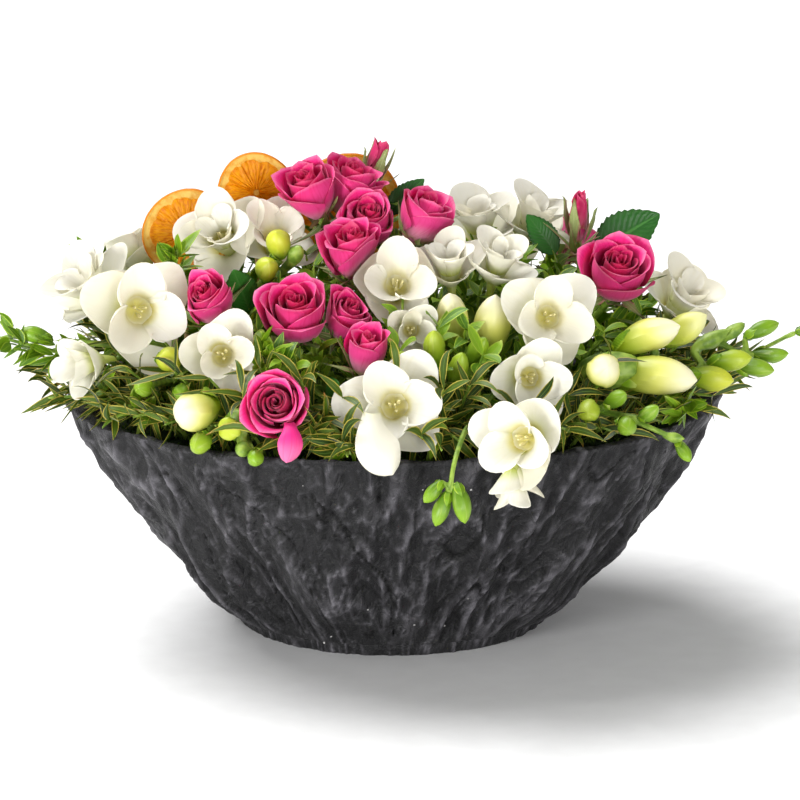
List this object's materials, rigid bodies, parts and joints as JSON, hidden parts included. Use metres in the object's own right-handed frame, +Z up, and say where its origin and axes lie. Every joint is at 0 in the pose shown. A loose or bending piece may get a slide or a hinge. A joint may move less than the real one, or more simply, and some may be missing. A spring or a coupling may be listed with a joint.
{
  "type": "flower arrangement in bowl",
  "caption": "Low flower arrangement of pink spray roses, white freesias, sprigs and dried orange slices, standing in foam in a rough dark flared bowl.",
  "frame": {"origin": "middle of the bowl's flat foot, on the surface that the bowl stands on", "axes": "+Z up out of the foot, X along the bowl's longer width, -Y towards the side that the arrangement faces"},
  "size_m": [0.4226, 0.3539, 0.2545],
  "materials": {
    "bowl_dark": "matt, rough, charcoal grey",
    "foam_green": "matt, fine open cells",
    "dried_orange": "dried flesh and rind, slightly glossy",
    "pick_wood": "plain",
    "rose_petal": "living petal, soft sheen",
    "freesia_petal": "living petal, soft sheen",
    "stem_green": "living stem, satin",
    "leaf_green": "living leaf, satin"
  },
  "bodies": {
    "root": {"bowl": "bowl_dark", "foam": "foam_green", "orange_slice_left": "dried_orange", "orange_slice_upper": "dried_orange", "orange_slice_large": "dried_orange", "slice_pick_left": "pick_wood", "slice_pick_upper": "pick_wood", "slice_pick_large": "pick_wood", "rose_peak_left": "rose_petal", "rose_peak_right": "rose_petal", "rose_bud_peak": "rose_petal", "rose_crown": "rose_petal", "rose_crown_right": "rose_petal", "rose_upright": "rose_petal", "rose_left": "rose_petal", "rose_heart": "rose_petal", "rose_middle": "rose_petal", "rose_bud_egg": "rose_petal", "rose_front": "rose_petal", "rose_right": "rose_petal", "rose_bud_right": "rose_petal", "rose_back_left": "rose_petal", "rose_back_right": "rose_petal", "freesia_left_front": "freesia_petal", "freesia_left_back": "freesia_petal", "freesia_left_low": "freesia_petal", "freesia_cup": "freesia_petal", "freesia_upper_left": "freesia_petal", "freesia_far_left": "freesia_petal", "freesia_centre": "freesia_petal", "freesia_centre_low": "freesia_petal", "freesia_front": "freesia_petal", "freesia_middle_pair": "freesia_petal", "freesia_upper_pair": "freesia_petal", "freesia_right_centre": "freesia_petal", "freesia_right_low": "freesia_petal", "freesia_hanging": "freesia_petal", "freesia_far_right": "freesia_petal", "freesia_back_left": "freesia_petal", "freesia_back_middle": "freesia_petal", "freesia_back_right": "freesia_petal", "rose_spray_top": "stem_green", "rose_spray_left": "stem_green", "rose_spray_right": "stem_green", "rose_spray_back": "stem_green", "freesia_stem_left": "stem_green", "freesia_stem_cup": "stem_green", "freesia_stem_upper_left": "stem_green", "freesia_stem_centre": "stem_green", "freesia_stem_middle": "stem_green", "freesia_spike_right": "stem_green", "freesia_spike_hanging": "stem_green", "freesia_spike_low_right": "stem_green", "freesia_stem_back": "stem_green", "greenery_left": "leaf_green", "greenery_upper_left": "leaf_green", "greenery_front": "leaf_green", "greenery_right": "leaf_green", "greenery_back": "leaf_green"}
  },
  "joints": []
}
